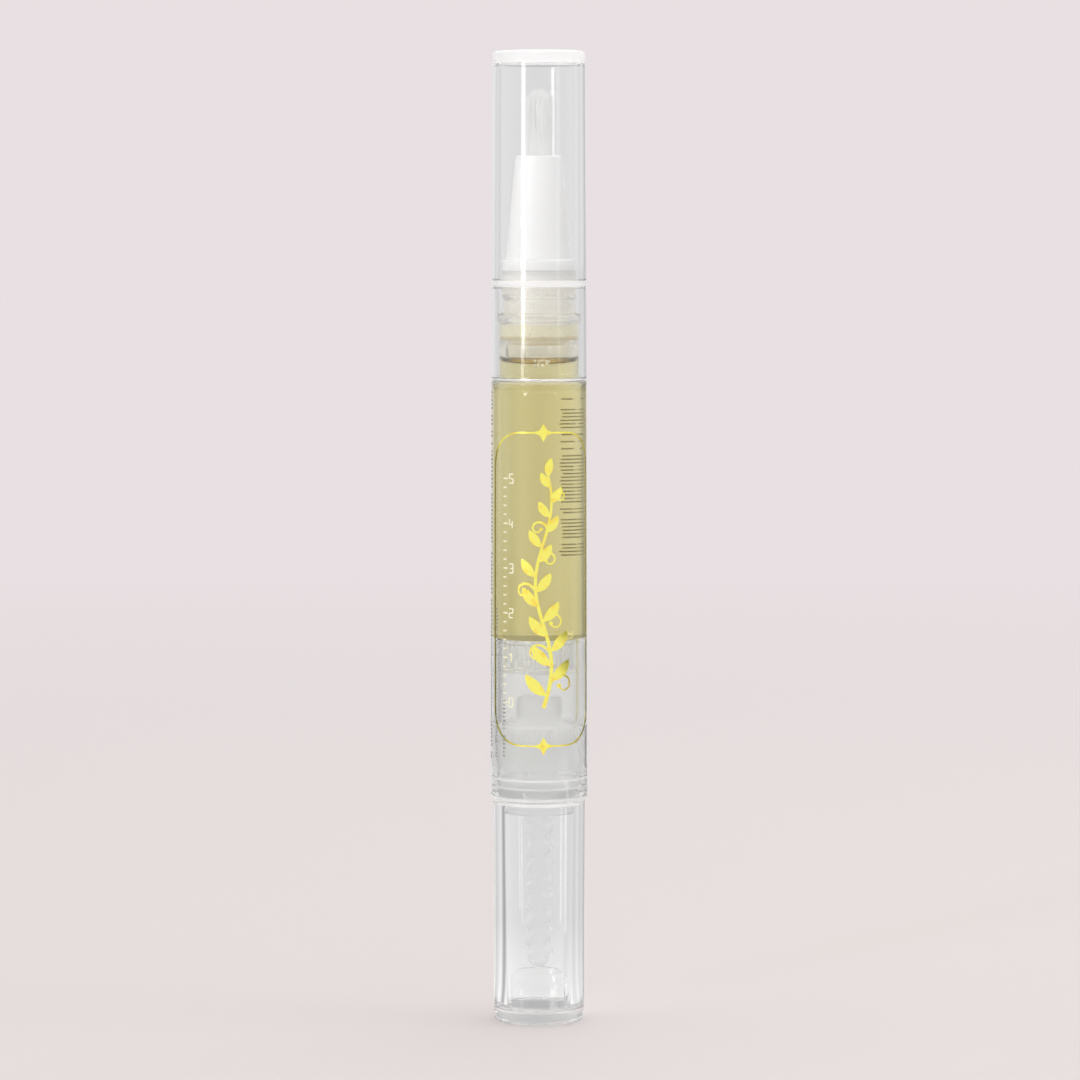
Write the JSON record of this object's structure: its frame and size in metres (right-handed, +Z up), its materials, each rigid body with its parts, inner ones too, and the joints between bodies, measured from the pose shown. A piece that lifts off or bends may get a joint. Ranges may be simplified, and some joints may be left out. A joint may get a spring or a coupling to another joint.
{
  "type": "cuticle oil pen",
  "caption": "Slim clear twist-up pen that holds golden cuticle oil, with a brush tip under a clear pull-off cap and a turning knob at its foot.",
  "frame": {"origin": "middle of the foot, on the surface that the pen stands on", "axes": "+Z up along the pen from the knob's foot to the closed end of the cap; +Y away from the printed front, so the front faces -Y"},
  "size_m": [0.011, 0.011, 0.1088],
  "materials": {
    "clear_cap": "clear, polished, injection moulded",
    "nylon_bristle": "fine translucent nylon strands",
    "white_holder": "opaque white, satin",
    "feed_tube": "translucent natural plastic",
    "natural_plug": "translucent natural plastic, wet with oil",
    "clear_barrel": "clear, polished, injection moulded, gold foil frame",
    "oil": "clear golden olive oil",
    "clear_piston": "clear natural plastic, finely ribbed",
    "clear_rod": "translucent natural plastic",
    "clear_nut": "clear natural plastic",
    "clear_ratchet": "clear natural plastic",
    "clear_sleeve": "clear natural plastic",
    "clear_knob": "clear, polished, thick walled",
    "clear_foot": "clear, polished"
  },
  "bodies": {
    "barrel": {"barrel": "clear_barrel", "neck_plug": "natural_plug", "feed_tube": "feed_tube", "brush_holder": "white_holder", "brush_bristles": "nylon_bristle", "oil_fill": "oil", "guide_nut": "clear_nut", "ratchet_ring": "clear_ratchet"},
    "cap": {"cap": "clear_cap"},
    "knob": {"knob": "clear_knob", "foot_plug": "clear_foot", "drive_sleeve": "clear_sleeve"},
    "screw_rod": {"screw_rod": "clear_rod"},
    "piston": {"piston": "clear_piston"}
  },
  "joints": [
    {"name": "cap_pull", "type": "slide", "parent": "barrel", "child": "cap", "axis": [0, 0, 1], "range_m": [0, 0.042]},
    {"name": "knob_turn", "type": "hinge", "parent": "barrel", "child": "knob", "pos_m": [0, 0, 0], "axis": [0, 0, 1], "range_deg": [0, 4320]},
    {"name": "rod_advance", "type": "slide", "parent": "knob", "child": "screw_rod", "axis": [0, 0, 1], "range_m": [0, 0.024]},
    {"name": "piston_lift", "type": "slide", "parent": "barrel", "child": "piston", "axis": [0, 0, 1], "range_m": [0, 0.024], "deforming": ["oil_fill"]}
  ],
  "couplings": [
    {"joint": "rod_advance", "follows": "knob_turn", "m_per_rad": 0.00031831},
    {"joint": "piston_lift", "follows": "knob_turn", "m_per_rad": 0.00031831}
  ]
}
